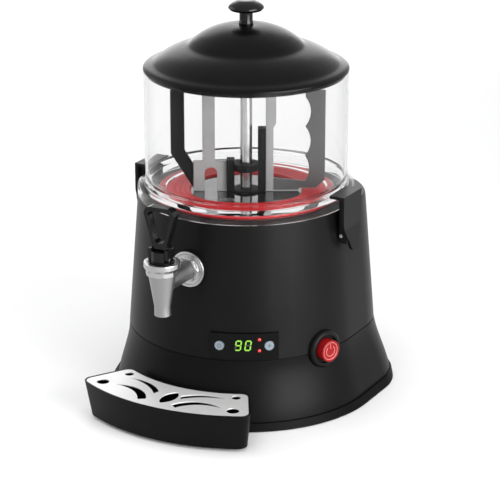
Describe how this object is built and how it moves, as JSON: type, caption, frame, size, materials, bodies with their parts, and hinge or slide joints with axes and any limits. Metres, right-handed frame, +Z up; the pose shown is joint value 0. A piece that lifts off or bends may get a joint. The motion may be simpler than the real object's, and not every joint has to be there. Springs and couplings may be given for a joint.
{
  "type": "hot chocolate dispenser",
  "caption": "Countertop hot drink dispenser: clear bowl with a turning stirrer on a flared black heated base, with a lever tap, control panel and slotted drip tray.",
  "frame": {"origin": "on the table plane under the axis of the bowl and the stirrer", "axes": "+Z up, the tap and the drip tray point to -Y, +X to the right as seen from the front"},
  "size_m": [0.32, 0.3575, 0.461],
  "materials": {
    "housing": "satin black moulded housing",
    "gloss_black": "gloss black moulding",
    "black_plastic": "satin black moulding",
    "grey_plastic": "smooth grey moulding",
    "light_plastic": "smooth light grey moulding",
    "rubber": "soft rubber",
    "silicone": "red silicone",
    "white_rubber": "pale food-grade silicone",
    "clear": "clear polycarbonate",
    "steel": "satin stainless",
    "bright_steel": "polished stainless",
    "brass": "plain brass",
    "motor": "grey painted metal",
    "board": "green circuit board",
    "lit_digit": "lit yellow-green bar",
    "lit_red": "lit red lamp",
    "button": "bluish grey button",
    "red_button": "red button"
  },
  "bodies": {
    "dispenser": {"base_plate": "housing", "feet": "rubber", "base_screws": "steel", "lower_housing": "housing", "upper_housing": "housing", "control_panel": "gloss_black", "display_digits": "lit_digit", "indicator_lamps": "lit_red", "control_board": "board", "board_posts": "black_plastic", "power_bezel": "black_plastic", "power_switch": "black_plastic", "mains_inlet": "black_plastic", "water_tank": "steel", "floor_pan": "steel", "bowl_gasket": "silicone", "heating_element": "steel", "temperature_probe": "steel", "outlet_pipe": "steel", "support_frame": "steel", "gear_motor": "motor", "motor_spacers": "brass", "column_tube": "bright_steel", "column_bushes": "white_rubber", "bowl": "clear", "tap_body": "steel", "tap_collar": "steel", "tap_flange": "steel", "tap_washer": "white_rubber", "tap_nut": "steel", "tap_bonnet": "black_plastic", "lever_pin": "steel", "clip_pins": "steel"},
    "stirrer": {"drive_shaft": "steel", "shaft_coupling": "brass", "drive_cap": "grey_plastic", "stirrer_hub": "black_plastic", "stirrer_web": "grey_plastic", "stirrer_blade": "black_plastic", "stirrer_bar": "light_plastic", "stirrer_paddle": "grey_plastic"},
    "lid": {"lid_shell": "gloss_black", "lid_knob": "gloss_black", "knob_screw": "steel"},
    "tap_lever": {"tap_lever": "gloss_black"},
    "tap_valve": {"valve_plug": "white_rubber", "valve_stem": "steel", "valve_spring": "steel"},
    "clip_left": {"clip_left": "black_plastic"},
    "clip_right": {"clip_right": "black_plastic"},
    "drip_tray": {"drip_tray": "black_plastic"},
    "tray_grille": {"tray_grille": "steel"},
    "panel_button_left": {"panel_button_left": "button"},
    "panel_button_right": {"panel_button_right": "button"},
    "power_button": {"power_button": "red_button"}
  },
  "joints": [
    {"name": "stirrer_turn", "type": "hinge", "parent": "dispenser", "child": "stirrer", "pos_m": [0, 0, 0.23], "axis": [0, 0, 1], "continuous": true},
    {"name": "lid_lift", "type": "slide", "parent": "dispenser", "child": "lid", "axis": [0, 0, 1], "range_m": [0, 0.1]},
    {"name": "lever_tilt", "type": "hinge", "parent": "dispenser", "child": "tap_lever", "pos_m": [0, -0.194, 0.213], "axis": [1, 0, 0], "range_deg": [0, 25], "stiffness_Nm_per_rad": 0.12, "springref_deg": -28.65},
    {"name": "valve_rise", "type": "slide", "parent": "dispenser", "child": "tap_valve", "axis": [0, 0, 1], "range_m": [0, 0.0022], "deforming": ["valve_spring"]},
    {"name": "clip_left_open", "type": "hinge", "parent": "dispenser", "child": "clip_left", "pos_m": [-0.1318, 0, 0.2064], "axis": [0, -1, 0], "range_deg": [0, 18], "stiffness_Nm_per_rad": 0.15, "springref_deg": -17.19},
    {"name": "clip_right_open", "type": "hinge", "parent": "dispenser", "child": "clip_right", "pos_m": [0.1318, 0, 0.2064], "axis": [0, 1, 0], "range_deg": [0, 18], "stiffness_Nm_per_rad": 0.15, "springref_deg": -17.19},
    {"name": "tray_pull", "type": "slide", "parent": "dispenser", "child": "drip_tray", "axis": [0, -1, 0], "range_m": [0, 0.06]},
    {"name": "grille_lift", "type": "slide", "parent": "drip_tray", "child": "tray_grille", "axis": [0, 0, 1], "range_m": [0, 0.04]},
    {"name": "panel_button_left_press", "type": "slide", "parent": "dispenser", "child": "panel_button_left", "axis": [-0.2832, 0.9591, 0], "range_m": [0, 0.0007], "stiffness_N_per_m": 400, "springref_m": -0.0007},
    {"name": "panel_button_right_press", "type": "slide", "parent": "dispenser", "child": "panel_button_right", "axis": [-0.6408, 0.7677, 0], "range_m": [0, 0.0007], "stiffness_N_per_m": 400, "springref_m": -0.0007},
    {"name": "power_button_press", "type": "slide", "parent": "dispenser", "child": "power_button", "axis": [-0.9336, 0.3584, 0], "range_m": [0, 0.0028], "stiffness_N_per_m": 700, "springref_m": -0.002}
  ],
  "couplings": [
    {"joint": "valve_rise", "follows": "lever_tilt", "m_per_rad": 0.005}
  ]
}
